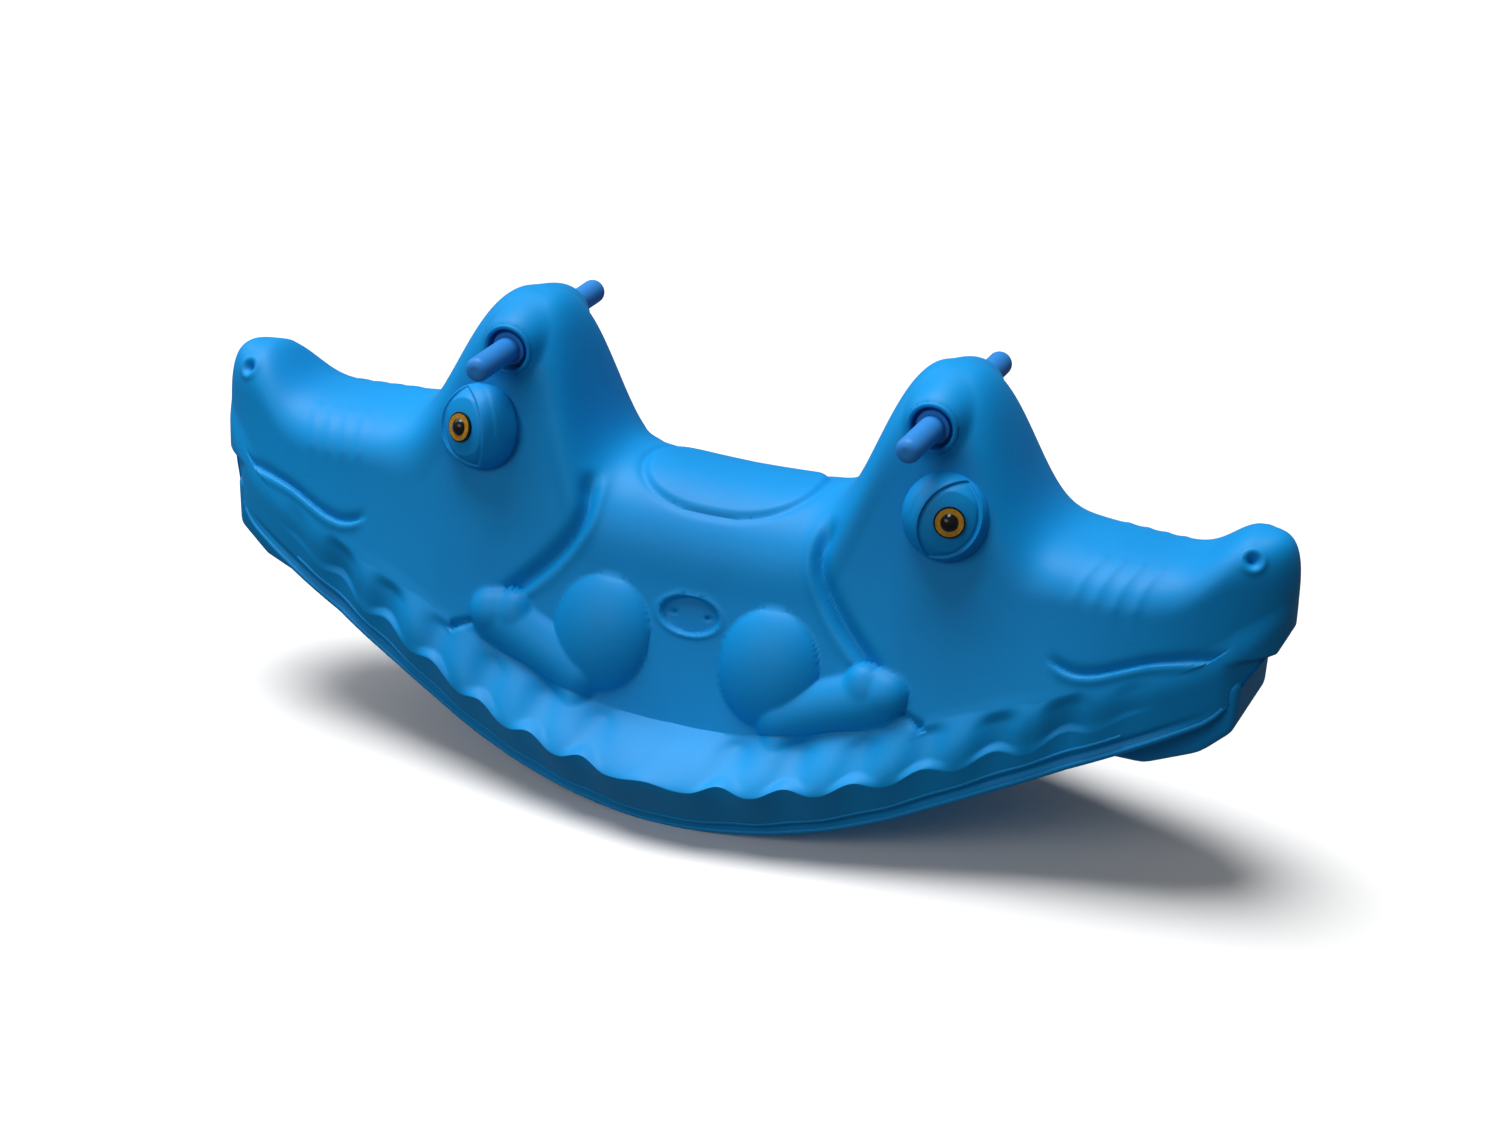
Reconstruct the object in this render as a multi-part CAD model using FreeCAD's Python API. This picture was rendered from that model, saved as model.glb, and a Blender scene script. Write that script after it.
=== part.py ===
import FreeCAD, Part
import math
import os
from FreeCAD import Vector

# A two-headed crocodile seesaw: one hollow moulded body that rocks on its round underside, with a
# handle bar through each head and four push-in eyes. Millimetres, X from head to head, Z up, and the
# origin on the ground under the middle of the body.

# Body, as seen from the side
body_length = 1100.0
seat_height = 303.0
seat_half_length = 91.0
head_height = 453.0
head_share = 0.389  # of the half length, to the crown of a head
head_inner_reach = 70.0
head_inner_power = 3.3
head_outer_reach = 77.5
head_outer_power = 3.0
head_foot_share = 0.09  # the broad foot that runs out into the seat and the saddle
head_foot_reach = 120.0
saddle_height = 316.0
saddle_setback = 219.0  # from the tip of the snout
snout_height = 348.0
snout_setback = 40.0
snout_reach = 40.0
snout_power = 2.1
nose_height = 266.0
nose_power = 3.8
jaw_setback = 60.0
jaw_power = 1.6
rocker_radius = 547.0
rocker_slope = 25.8  # degrees, where the arc runs out into a straight
rocker_flat = 44.0  # width of the flat that the body stands on

# Body, as seen from an end and from above
head_half_width = 62.0
foot_half_width = 158.0
flank_power = 1.4
rim_half_width = 157.0
rim_end_half_width = 106.0
rim_end_setback = 173.0
rim_power = 1.5
taper_setback = 220.0
taper_power = 2.1
rim_taper_power = 2.0
foot_rise = 38.0
flare_rise = 60.0
dome_depth = 88.0
dome_extra = 75.0
dome_power = 2.2
wall = 4.5

# Skirt that flares out along each side, over the rim
skirt_reach = 48.0
skirt_half_length = 345.0
skirt_power = 1.25
skirt_rise = 60.0
skirt_end_rise = 34.0
shelf_height = 42.0
shelf_power = 1.5

# End stops under the jaws
stop_inner_setback = 178.0
stop_outer_setback = 42.0
stop_drop = 33.0  # from the underside at the stop's middle down to its foot
stop_rise = 22.0
stop_face_rise = 40.0
stop_half_width = 58.0
stop_overlap = 20.0
stop_run_in = 40.0
stop_chamfer = 22.0

# Legs in relief
thigh_place = 86.0
thigh_height = 160.0
thigh_radius = 100.0
thigh_relief = 14.0
paw_radius = 26.0
paw_relief = 13.0
elbow_place = 102.0
elbow_height = 126.0
paw_place = 194.0
paw_height = 158.0

# Name plate seat on each side
plate_height = 197.0
plate_half_length = 29.0
plate_half_height = 17.0
plate_depth = 2.5
plate_hole_radius = 2.0
plate_hole_spacing = 35.0

# Handle bars
handle_drop = 41.0  # from the crown of the head
grip_reach = 68.0  # from the rim of the boss to the tip
tube_radius = 9.0
tube_wall = 1.5
grip_wall = 3.0
collar_step = 4.0
collar_length = 6.0
recess_gap = 4.0
recess_depth = 12.0
boss_wall = 5.0
boss_proud = 4.0
bush_wall = 3.0
bush_flange_step = 5.0
bush_flange = 2.5
bush_tail = 6.0
cap_round = 9.0
cap_land = 0.5
cap_plug_length = 12.0
running_gap = 0.05
end_gap = 0.4

# Eyes, which look out to the side, towards the snout and a little up
eye_behind_crown = 33.0
eye_drop = 115.0
eye_proud = 24.5
eye_turn = 20.0  # degrees, towards the snout
eye_lift = 12.0  # degrees, upwards
pod_radius = 43.0
pod_depth = 34.0
eye_radius = 14.5
eye_socket_depth = 1.5
eye_back_thickness = 3.5
iris_rim = 1.5
iris_thickness = 2.0
iris_sink = 1.2
pupil_share = 0.64  # of the iris's radius
pupil_rise = 4.6
pupil_pin_radius = 3.0
pupil_pin_length = 1.5
shank_radius = 4.0
shank_length = 20.0
washer_reach = 6.0
washer_thickness = 0.8
washer_teeth = 8
washer_slot_length = 2.5
washer_slot_width = 1.2
washer_slot_start = 0.5

# Vent plug in the left end stop
vent_radius = 8.0
vent_head_step = 5.0
vent_head = 2.5
vent_length = 14.0
vent_wall = 3.0
vent_margin = 1.0

# How finely the lofted body is cut into sections
shelf_shares = (0.0, 0.3, 0.65, 1.0)
flank_shares = (0.12, 0.26, 0.4, 0.54, 0.67, 0.78, 0.87, 0.94, 0.985)
tip_trim = 0.5
station_step = 14.0
nose_stations = 6
nose_lead = 6.0
skin_steps = 4

sides = {"front": -1, "rear": 1}
heads = {"left": -1, "right": 1}

half_length = body_length / 2
head_place = head_share * half_length
saddle_place = half_length - saddle_setback
snout_place = half_length - snout_setback
jaw_place = half_length - jaw_setback
taper_place = half_length - taper_setback
rim_end_place = half_length - rim_end_setback
stop_inner_place = half_length - stop_inner_setback
stop_outer_place = half_length - stop_outer_setback
handle_place = head_place
handle_height = head_height - handle_drop


def smooth(t):
    t = min(max(t, 0.0), 1.0)
    return t * t * (3.0 - 2.0 * t)


def blend(a, b, t):
    return a + (b - a) * smooth(t)


def round_off(t, power):
    """A superellipse's height at t, from 1 at 0 down to 0 at 1."""
    t = min(max(t, 0.0), 1.0)
    return (1.0 - t**power) ** (1.0 / power)


def head_rise(x):
    """How much of the head stands at this place, from 0 beside it to 1 at its crown."""
    away = abs(x) - head_place
    reach, power = head_outer_reach, head_outer_power
    if away < 0:
        reach, power = head_inner_reach, head_inner_power
    foot = head_foot_share * math.exp(-((away / head_foot_reach) ** 2))
    return (1.0 - head_foot_share) * math.exp(-((abs(away) / reach) ** power)) + foot


def top(x):
    """Height of the body's crest: seat, head, saddle, snout and nose."""
    a = abs(x)
    if a >= snout_place:
        along = (a - snout_place) / snout_setback
        return nose_height + (snout_height - nose_height) * round_off(along, nose_power)
    along = (a - seat_half_length) / (saddle_place - seat_half_length)
    base = blend(seat_height, saddle_height, along)
    snout = math.exp(-(((snout_place - a) / snout_reach) ** snout_power))
    return base + (head_height - base) * head_rise(x) + (snout_height - saddle_height) * snout


def rocker(a):
    """Height of the underside: an arc that dips a hair below the ground plane, then a straight."""
    dip = rocker_radius - math.sqrt(rocker_radius**2 - (rocker_flat / 2) ** 2)
    slope = math.radians(rocker_slope)
    bend = rocker_radius * math.sin(slope)
    if a <= bend:
        return rocker_radius - math.sqrt(rocker_radius**2 - a * a) - dip
    return rocker_radius * (1.0 - math.cos(slope)) - dip + (a - bend) * math.tan(slope)


def bottom(x):
    a = abs(x)
    if a <= jaw_place:
        return rocker(a)
    curve = round_off((a - jaw_place) / jaw_setback, jaw_power)
    return nose_height - (nose_height - rocker(a)) * curve


def flank(x, z):
    """Half width of the leaning side wall at a height."""
    down = max(handle_height - z, 0.0) / (handle_height - foot_rise)
    taper = round_off((abs(x) - taper_place) / taper_setback, taper_power)
    return (head_half_width + (foot_half_width - head_half_width) * down**flank_power) * taper


def rim(x):
    """Half width of the body along its bottom edge."""
    share = min(abs(x), rim_end_place) / rim_end_place
    taper = round_off((abs(x) - taper_place) / taper_setback, rim_taper_power)
    return (rim_half_width - (rim_half_width - rim_end_half_width) * share**rim_power) * taper


def skirt_share(x):
    """How much of the skirt stands at this place, from 1 at the middle to 0 at its ends."""
    return 1.0 - min(abs(x) / skirt_half_length, 1.0) ** skirt_power


def skirt_levels(x):
    """Heights of the skirt's ridge and of the top of its shelf."""
    low, high = bottom(x), top(x)
    rise = skirt_end_rise + (skirt_rise - skirt_end_rise) * skirt_share(x)
    ridge = low + min(rise, (high - low) / 4)
    return ridge, ridge + min(shelf_height, (high - low) / 5)


def skirt(x, z):
    """How far the skirt stands out from the plain side wall."""
    low = bottom(x)
    ridge, shelf = skirt_levels(x)
    if z <= ridge:
        shape = max(z - low, 0.0) / (ridge - low)
    else:
        shape = (1.0 - min((z - ridge) / (shelf - ridge), 1.0)) ** shelf_power
    return skirt_reach * skirt_share(x) * shape


def half_width(x, z):
    """Half width of the body at a place and height, with the rounded crest."""
    low, high = bottom(x), top(x)
    tall = high - low
    rise = head_rise(x)
    dome = min(dome_depth + dome_extra * rise * (1.0 - rise), tall / 2)
    foot = low + min(foot_rise, tall / 4)
    level = min(z, high - dome)
    wide = blend(rim(x), flank(x, level), (level - foot) / min(flare_rise, tall / 4)) + skirt(x, level)
    if z <= high - dome:
        return wide
    return wide * round_off((z - high + dome) / dome, dome_power)


def near(place, skin):
    """Places within a wall's thickness, each with the depth that the wall takes there."""
    steps = [skin * k / skin_steps for k in range(-skin_steps, skin_steps + 1)]
    return [(place + step, math.sqrt(max(skin**2 - step**2, 0.0))) for step in steps]


def section(x, skin):
    """The closed outline of the body across X, with a wall's thickness taken off all round."""
    beside = [(place, deep) for place, deep in near(x, skin) if abs(place) < half_length]
    high = min(top(place) - deep for place, deep in beside)
    low = max(bottom(place) + deep for place, deep in beside)
    ridge, shelf = skirt_levels(x)
    levels = [low]
    levels += [ridge + (shelf - ridge) * share for share in shelf_shares]
    levels += [shelf + (high - shelf) * share for share in flank_shares]
    half = []
    for z in levels:
        outer = min(max(z, bottom(x)), top(x) - skin)
        wide = min(half_width(x, max(level, bottom(x))) - deep for level, deep in near(outer, skin))
        half.append((max(wide, 1.0), z))
    half = [Vector(x, y, z) for y, z in half]
    other = [Vector(x, -p.y, p.z) for p in half]
    corner = len(shelf_shares)
    points = other[corner:] + [Vector(x, 0, high)] + list(reversed(half[corner:]))
    crest = Part.BSplineCurve()
    crest.interpolate(Points=points, Parameters=[k / (len(points) - 1) for k in range(len(points))])
    straights = list(reversed(half[: corner + 1])) + other[: corner + 1]
    lines = [Part.LineSegment(a, b).toShape() for a, b in zip(straights, straights[1:])]
    return Part.Wire([crest.toShape()] + lines)


def stations(skin):
    """Places of the sections, closer together where the nose turns fast."""
    end = half_length - tip_trim - skin
    start = snout_place - nose_lead
    inner = [station_step * k for k in range(int(start // station_step))]
    turns = [math.pi / 2 * k / nose_stations for k in range(nose_stations + 1)]
    outer = [start + (end - start) * math.sin(turn) for turn in turns]
    half = inner + outer
    return [-a for a in reversed(half)] + half[1:]


def body_form(skin):
    return Part.makeLoft([section(x, skin) for x in stations(skin)], True, True)


def rod(x, z, y_from, y_to, radius):
    """A round bar along Y."""
    start, end = min(y_from, y_to), max(y_from, y_to)
    return Part.makeCylinder(radius, end - start, Vector(x, start, z), Vector(0, 1, 0))


def ring(x, z, y_from, y_to, outer, inner):
    return rod(x, z, y_from, y_to, outer).cut(rod(x, z, y_from, y_to, inner))


def eye_placement(head, side):
    """An eye's own frame: its origin on the flat of the pod, with Z along the way that it looks."""
    turn, lift = math.radians(eye_turn), math.radians(eye_lift)
    out = math.cos(lift) * math.cos(turn)
    looks = Vector(head * math.cos(lift) * math.sin(turn), side * out, math.sin(lift))
    centre = Vector(head * eye_place, side * eye_half_span, eye_height)
    return FreeCAD.Placement(centre, FreeCAD.Rotation(Vector(0, 0, 1), looks))


def on_eye(shape, head, side):
    """A shape made in an eye's own frame, put in its place."""
    placed = shape.copy()
    placed.Placement = eye_placement(head, side)
    return placed


def bar(z_from, z_to, radius):
    """A round bar along Z in an eye's own frame."""
    return Part.makeCylinder(radius, z_to - z_from, Vector(0, 0, z_from))


def eye_pod(skin):
    """A round bulge with a flat that the eye sits in, in the eye's own frame."""
    ball = Part.makeSphere(pod_radius - skin, Vector(0, 0, -pod_depth))
    return ball.cut(bar(-skin, pod_radius, pod_radius))


def handle_boss(x, side, depth):
    """The round boss that the handle comes out of, from a depth under its rim outwards."""
    return rod(x, handle_height, side * (boss_half_span - depth), side * boss_half_span, boss_radius)


def end_stop(head, skin):
    """The lump under a jaw that meets the ground at the end of the roll."""
    outline = [
        (stop_inner_place, rocker(stop_inner_place) + stop_overlap),
        (stop_inner_place, rocker(stop_inner_place)),
        (stop_inner_place + stop_run_in, stop_bottom),
        (stop_outer_place - stop_chamfer, stop_bottom + stop_rise),
        (stop_outer_place, stop_bottom + stop_face_rise),
        (stop_outer_place, bottom(stop_outer_place) + stop_overlap),
    ]
    points = [Vector(x, -stop_half_width + skin, z) for x, z in outline]
    edge = Part.makePolygon(points + points[:1])
    if skin:
        edge = edge.makeOffset2D(-skin, 2)
    lump = Part.Face(edge).extrude(Vector(0, 2 * (stop_half_width - skin), 0))
    return lump if head > 0 else lump.mirror(Vector(0, 0, 0), Vector(1, 0, 0))


def wall_lean(z):
    """How much the side wall moves in for each millimetre up."""
    return flank(0.0, z - 0.5) - flank(0.0, z + 0.5)


def thigh(x, side, skin):
    lean = math.atan(wall_lean(thigh_height))
    out = thigh_relief - thigh_radius
    y = flank(x, thigh_height) + out * math.cos(lean)
    z = thigh_height + out * math.sin(lean)
    return Part.makeSphere(thigh_radius - skin, Vector(x, side * y, z))


def foreleg(head, side, skin):
    """The lower leg and paw: a bar with round ends, half sunk in the side wall."""
    ends = []
    for x, z in ((elbow_place, elbow_height), (paw_place, paw_height)):
        ends.append(Vector(head * x, side * (flank(x, z) + paw_relief - paw_radius), z))
    along = ends[1] - ends[0]
    radius = paw_radius - skin
    shin = Part.makeCylinder(radius, along.Length, ends[0], along)
    return [shin] + [Part.makeSphere(radius, end) for end in ends]


def plate_seat(side):
    """The shallow oval that a name plate sits in, square to the leaning wall, with its two holes."""
    lean = math.atan(wall_lean(plate_height))
    outward = Vector(0, side * math.cos(lean), math.sin(lean))
    centre = Vector(0, side * flank(0.0, plate_height), plate_height)
    upright = FreeCAD.Rotation(Vector(1, 0, 0), Vector(0, 0, 0), outward, "XZY")
    oval = Part.Ellipse(Vector(0, 0, 0), plate_half_length, plate_half_height)
    cutter = Part.Face(Part.Wire([oval.toShape()])).extrude(Vector(0, 0, 4 * plate_depth))
    cutter.Placement = FreeCAD.Placement(centre - outward * plate_depth, upright)
    holes = []
    for x in (-plate_hole_spacing / 2, plate_hole_spacing / 2):
        inside = side * (flank(0.0, plate_height) - 4 * wall)
        outside = side * (flank(0.0, plate_height) + 2 * wall)
        holes.append(rod(x, plate_height, inside, outside, plate_hole_radius))
    return [cutter] + holes


def corners():
    """The four places at a head's side: its name, its head and its side."""
    return [(f"{h}_{s}", heads[h], sides[s]) for h in heads for s in sides]


stop_bottom = rocker((stop_inner_place + stop_outer_place) / 2) - stop_drop
eye_place = head_place + eye_behind_crown
eye_height = head_height - eye_drop
eye_half_span = flank(eye_place, eye_height) + eye_proud
boss_half_span = head_half_width + boss_proud
handle_half_span = boss_half_span + grip_reach
grip_radius = tube_radius + grip_wall
collar_radius = grip_radius + collar_step
recess_radius = collar_radius + recess_gap
boss_radius = recess_radius + boss_wall
recess_floor = boss_half_span - recess_depth
bush_bore = tube_radius + running_gap
bush_radius = bush_bore + bush_wall
bush_flange_radius = bush_radius + bush_flange_step
cap_seat = handle_half_span - cap_round
iris_radius = eye_radius - iris_rim
pupil_radius = iris_radius * pupil_share
eye_seat = -eye_socket_depth
eye_front = eye_seat + eye_back_thickness
iris_seat = eye_front - iris_sink
iris_front = iris_seat + iris_thickness
washer_radius = shank_radius + washer_reach
vent_head_radius = vent_radius + vent_head_step


def relief(skin):
    """Every bulge that the moulding has on its smooth body, with a wall's thickness taken off."""
    shapes = [end_stop(head, skin) for head in heads.values()]
    for _, head, side in corners():
        shapes.append(on_eye(eye_pod(skin), head, side))
        shapes.append(thigh(head * thigh_place, side, skin))
        shapes.extend(foreleg(head, side, skin))
    return shapes


def handle_openings(head, side):
    """The recess in a boss, and the hole that the bush goes through."""
    x = head * handle_place
    recess = rod(x, handle_height, side * recess_floor, side * (boss_half_span + wall), recess_radius)
    hole = rod(x, handle_height, side * (recess_floor - 2 * wall), side * recess_floor, bush_radius)
    return [recess, hole]


def eye_openings(head, side):
    """The socket in a pod's flat, and the hole for the shank."""
    socket = bar(eye_seat, wall, eye_radius + running_gap)
    hole = bar(eye_seat - 2 * wall, eye_seat, shank_radius)
    return [on_eye(socket, head, side), on_eye(hole, head, side)]


def body_shell():
    bosses = [handle_boss(head * handle_place, side, boss_half_span / 2) for _, head, side in corners()]
    outside = body_form(0.0).multiFuse(relief(0.0) + bosses)
    floors = [handle_boss(head * handle_place, side, recess_depth + wall) for _, head, side in corners()]
    hollow = body_form(wall).multiFuse(relief(wall)).cut(Part.makeCompound(floors))
    cuts = []
    for _, head, side in corners():
        cuts += handle_openings(head, side) + eye_openings(head, side)
    for side in sides.values():
        cuts += plate_seat(side)
    cuts.append(Part.makeCylinder(vent_radius, 3 * wall, vent_mouth() - Vector(wall, 0, 0), Vector(1, 0, 0)))
    cuts.append(Part.makeBox(body_length, body_length, wall, Vector(-half_length, -half_length, -wall)))
    return outside.cut(hollow).cut(Part.makeCompound(cuts))


def vent_mouth():
    """The middle of the vent hole in the outer face of the left end stop."""
    return Vector(-stop_outer_place, 0, stop_bottom + stop_face_rise + vent_head_radius + vent_margin)


def handle_tube(head):
    return ring(head * handle_place, handle_height, -cap_seat, cap_seat, tube_radius, tube_radius - tube_wall)


def handle_bush(head, side):
    """A flanged bush in the floor of the recess, with a tail inside the body."""
    x = head * handle_place
    face = side * (recess_floor + bush_flange)
    tail = side * (recess_floor - wall - bush_tail)
    flange = ring(x, handle_height, side * recess_floor, face, bush_flange_radius, bush_bore)
    sleeve = ring(x, handle_height, tail, side * recess_floor, bush_radius, bush_bore)
    return flange.fuse(sleeve).removeSplitter()


def handle_grip(head, side):
    """A sleeve pushed on the tube, with a collar that runs against the bush."""
    x = head * handle_place
    start = recess_floor + bush_flange + end_gap
    collar = rod(x, handle_height, side * start, side * (start + collar_length), collar_radius)
    sleeve = rod(x, handle_height, side * start, side * cap_seat, grip_radius)
    bore = rod(x, handle_height, 0, side * handle_half_span, tube_radius)
    return collar.fuse(sleeve).removeSplitter().cut(bore)


def handle_cap(head, side):
    """The domed end of a grip, with a plug in the tube's bore."""
    x = head * handle_place
    dome = rod(x, handle_height, side * cap_seat, side * handle_half_span, grip_radius)
    tip = [e for e in dome.Edges if e.BoundBox.YMin * side > cap_seat and e.BoundBox.YLength < cap_land]
    dome = dome.makeFillet(cap_round - cap_land, tip)
    plug_end = side * (cap_seat - cap_plug_length)
    plug = rod(x, handle_height, plug_end, side * cap_seat, tube_radius - tube_wall)
    return dome.fuse(plug).removeSplitter()


def eye_back():
    """The black back of an eye, with a rim round the iris and a shank through the wall."""
    disc = bar(eye_seat, eye_front, eye_radius)
    shank = bar(eye_seat - shank_length, eye_seat, shank_radius)
    pocket = bar(iris_seat, eye_front + wall, iris_radius)
    pin = bar(iris_seat - pupil_pin_length, iris_seat, pupil_pin_radius)
    return disc.fuse(shank).removeSplitter().cut(pocket).cut(pin)


def eye_iris():
    return bar(iris_seat, iris_front, iris_radius).cut(bar(iris_seat, iris_front, pupil_pin_radius))


def eye_pupil():
    """The black dome on the iris, with a pin through it."""
    radius = (pupil_radius**2 + pupil_rise**2) / (2 * pupil_rise)
    ball = Part.makeSphere(radius, Vector(0, 0, iris_front + pupil_rise - radius))
    dome = ball.common(bar(iris_front, iris_front + 2 * pupil_rise, 2 * pupil_radius))
    pin = bar(iris_seat - pupil_pin_length, iris_front, pupil_pin_radius)
    return dome.fuse(pin).removeSplitter()


def eye_lock_washer():
    """A push-on washer whose teeth grip the shank inside the body."""
    face = -wall
    back = face - washer_thickness
    washer = bar(back, face, washer_radius).cut(bar(back, face, shank_radius))
    start = Vector(shank_radius - washer_slot_start, -washer_slot_width / 2, face - 2 * washer_thickness)
    for k in range(washer_teeth):
        slot = Part.makeBox(washer_slot_length, washer_slot_width, 3 * washer_thickness, start)
        slot.rotate(Vector(0, 0, 0), Vector(0, 0, 1), 360.0 * k / washer_teeth)
        washer = washer.cut(slot)
    return washer


def vent_plug():
    """A push-in plug with a flat head outside and a blind bore from inside."""
    mouth = vent_mouth()
    inwards = Vector(1, 0, 0)
    head = Part.makeCylinder(vent_head_radius, vent_head, mouth - inwards * vent_head, inwards)
    stem = Part.makeCylinder(vent_radius, vent_length, mouth, inwards)
    bore = Part.makeCylinder(vent_radius - vent_wall, vent_length, mouth + inwards * vent_head, inwards)
    return head.fuse(stem).removeSplitter().cut(bore)


def parts():
    """Every node's name and shape."""
    yield "body_shell", body_shell()
    yield "vent_plug", vent_plug()
    washer = eye_lock_washer()
    yield "eye_lock_washers", Part.makeCompound([on_eye(washer, head, side) for _, head, side in corners()])
    for name, head in heads.items():
        yield f"handle_tube_{name}", handle_tube(head)
    eye = {"back": eye_back(), "iris": eye_iris(), "pupil": eye_pupil()}
    for name, head, side in corners():
        yield f"handle_bush_{name}", handle_bush(head, side)
        yield f"handle_grip_{name}", handle_grip(head, side)
        yield f"handle_cap_{name}", handle_cap(head, side)
        for piece, shape in eye.items():
            yield f"eye_{piece}_{name}", on_eye(shape, head, side)


os.makedirs("parts", exist_ok=True)
for node, shape in parts():
    shape.exportStep(f"parts/{node}.step")
    print(f"{node}: {len(shape.Solids)} solid, {shape.Volume / 1000:.1f} cm3, valid {shape.isValid()}")
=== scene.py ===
import math
import bpy
import bmesh
import numpy as np
from mathutils import Matrix, Vector


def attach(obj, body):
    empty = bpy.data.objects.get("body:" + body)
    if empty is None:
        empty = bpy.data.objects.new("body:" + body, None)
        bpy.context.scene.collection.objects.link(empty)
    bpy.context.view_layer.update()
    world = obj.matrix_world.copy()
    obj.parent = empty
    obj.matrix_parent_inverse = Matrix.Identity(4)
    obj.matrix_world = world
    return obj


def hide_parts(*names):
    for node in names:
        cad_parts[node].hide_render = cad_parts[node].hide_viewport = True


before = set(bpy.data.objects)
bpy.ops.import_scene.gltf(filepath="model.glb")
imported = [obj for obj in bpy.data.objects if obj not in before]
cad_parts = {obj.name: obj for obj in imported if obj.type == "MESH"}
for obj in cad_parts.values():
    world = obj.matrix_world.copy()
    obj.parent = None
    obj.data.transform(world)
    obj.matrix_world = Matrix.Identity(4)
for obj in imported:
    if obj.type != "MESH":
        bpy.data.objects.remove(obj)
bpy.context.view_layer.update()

mm = 0.001

# The moulding's form in millimetres, the CAD's numbers but for the saddle, the snout's dome and the skirt
body = {
    "halfLength": 550.0, "seat": 303.0, "seatHalf": 91.0, "head": 453.0, "headPlace": 213.95,
    "headInner": 70.0, "headInnerPower": 3.3, "headOuter": 77.5, "headOuterPower": 3.0,
    "footShare": 0.09, "footReach": 120.0, "saddle": 312.0, "saddlePlace": 331.0,
    "snout": 348.0, "snoutPlace": 510.0, "snoutReach": 40.0, "snoutPower": 2.1,
    "nose": 266.0, "nosePower": 3.8, "jawPlace": 490.0, "jawPower": 1.6,
    "rocker": 547.0, "slope": 25.8, "flat": 44.0,
    "headHalf": 62.0, "footHalf": 158.0, "flankPower": 1.4, "handle": 412.0,
    "rimHalf": 157.0, "rimEnd": 106.0, "rimEndPlace": 377.0, "rimPower": 1.5, "rimTaperPower": 2.0,
    "taperPlace": 330.0, "taperPower": 2.1, "footRise": 38.0, "flare": 60.0,
    "dome": 88.0, "domeExtra": 75.0, "domePower": 2.2,
    "snoutDome": 44.0, "snoutDomeStart": 275.0, "snoutDomeRun": 75.0, "lowest": 4.0,
}
skirt = {
    "reach": 48.0, "half": 345.0, "power": 1.25, "rise": 67.0, "endRise": 35.0,
    "shelf": 25.0, "shelfEnd": 14.0, "shelfRun": 220.0, "pillow": 11.0,
    "lobeWidth": 60.5, "lobePower": 1.1, "wave": 4.8, "fadeStart": 345.0, "fadeEnd": 465.0,
    "middleLobe": 70.0, "middleFlat": 0.55, "middleRun": 0.45, "middlePower": 1.2,
    "middleDip": 0.3, "middleDipRun": 0.5,
    "valley": 6.0, "valleyPower": 1.2, "valleyTop": 0.2, "valleyFoot": 0.35,
    "endLobe": 5.0, "endLobeStart": 240.0, "endLobeRun": 120.0,
    "lobeRound": 1.3, "cuspRound": 1.25, "endRound": 1.5, "shelfLowest": 4.5,
}


def smooth(t):
    t = np.clip(t, 0.0, 1.0)
    return t * t * (3.0 - 2.0 * t)


def blendTo(a, b, t):
    return a + (b - a) * smooth(t)


def roundOff(t, power):
    return (1.0 - np.clip(t, 0.0, 1.0) ** power) ** (1.0 / power)


def softMax(a, b, radius):
    # the larger of two heights, with a fillet where they meet
    gap = np.clip(0.5 + 0.5 * (a - b) / radius, 0.0, 1.0)
    return b + (a - b) * gap + radius * gap * (1.0 - gap)


def bell(distance, width):
    return np.exp(-((distance / width) ** 2))


def headRise(a):
    away = a - body["headPlace"]
    inner = np.exp(-(np.abs(away) / body["headInner"]) ** body["headInnerPower"])
    outer = np.exp(-(np.abs(away) / body["headOuter"]) ** body["headOuterPower"])
    foot = body["footShare"] * np.exp(-(np.abs(away) / body["footReach"]) ** 2)
    return np.where(away < 0, inner, outer) * (1.0 - body["footShare"]) + foot


def crest(a):
    run = (a - body["seatHalf"]) / (body["saddlePlace"] - body["seatHalf"])
    base = blendTo(body["seat"], body["saddle"], run)
    bump = np.exp(-(np.abs(body["snoutPlace"] - a) / body["snoutReach"]) ** body["snoutPower"])
    inner = base + (body["head"] - base) * headRise(a) + (body["snout"] - body["saddle"]) * bump
    along = (a - body["snoutPlace"]) / (body["halfLength"] - body["snoutPlace"])
    tip = body["nose"] + (body["snout"] - body["nose"]) * roundOff(along, body["nosePower"])
    return np.where(a < body["snoutPlace"], inner, tip)


def rocker(a):
    radius = body["rocker"]
    dip = radius - math.sqrt(radius ** 2 - (body["flat"] / 2) ** 2)
    slope = math.radians(body["slope"])
    bend = radius * math.sin(slope)
    arc = radius - np.sqrt(radius ** 2 - np.minimum(a, bend) ** 2)
    return np.maximum(arc - dip + np.maximum(a - bend, 0.0) * math.tan(slope), 0.0)


def underside(a):
    jaw = roundOff((a - body["jawPlace"]) / (body["halfLength"] - body["jawPlace"]), body["jawPower"])
    return np.where(a <= body["jawPlace"], rocker(a), body["nose"] - (body["nose"] - rocker(a)) * jaw)


def taper(a, power):
    return roundOff((a - body["taperPlace"]) / (body["halfLength"] - body["taperPlace"]), power)


def flank(a, z):
    down = np.maximum(body["handle"] - z, 0.0) / (body["handle"] - body["footRise"])
    width = body["headHalf"] + (body["footHalf"] - body["headHalf"]) * down ** body["flankPower"]
    return width * taper(a, body["taperPower"])


def rim(a):
    share = np.minimum(a, body["rimEndPlace"]) / body["rimEndPlace"]
    width = body["rimHalf"] - (body["rimHalf"] - body["rimEnd"]) * share ** body["rimPower"]
    return width * taper(a, body["rimTaperPower"])


def skirtShare(a):
    return 1.0 - np.minimum(a / skirt["half"], 1.0) ** skirt["power"]


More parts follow.
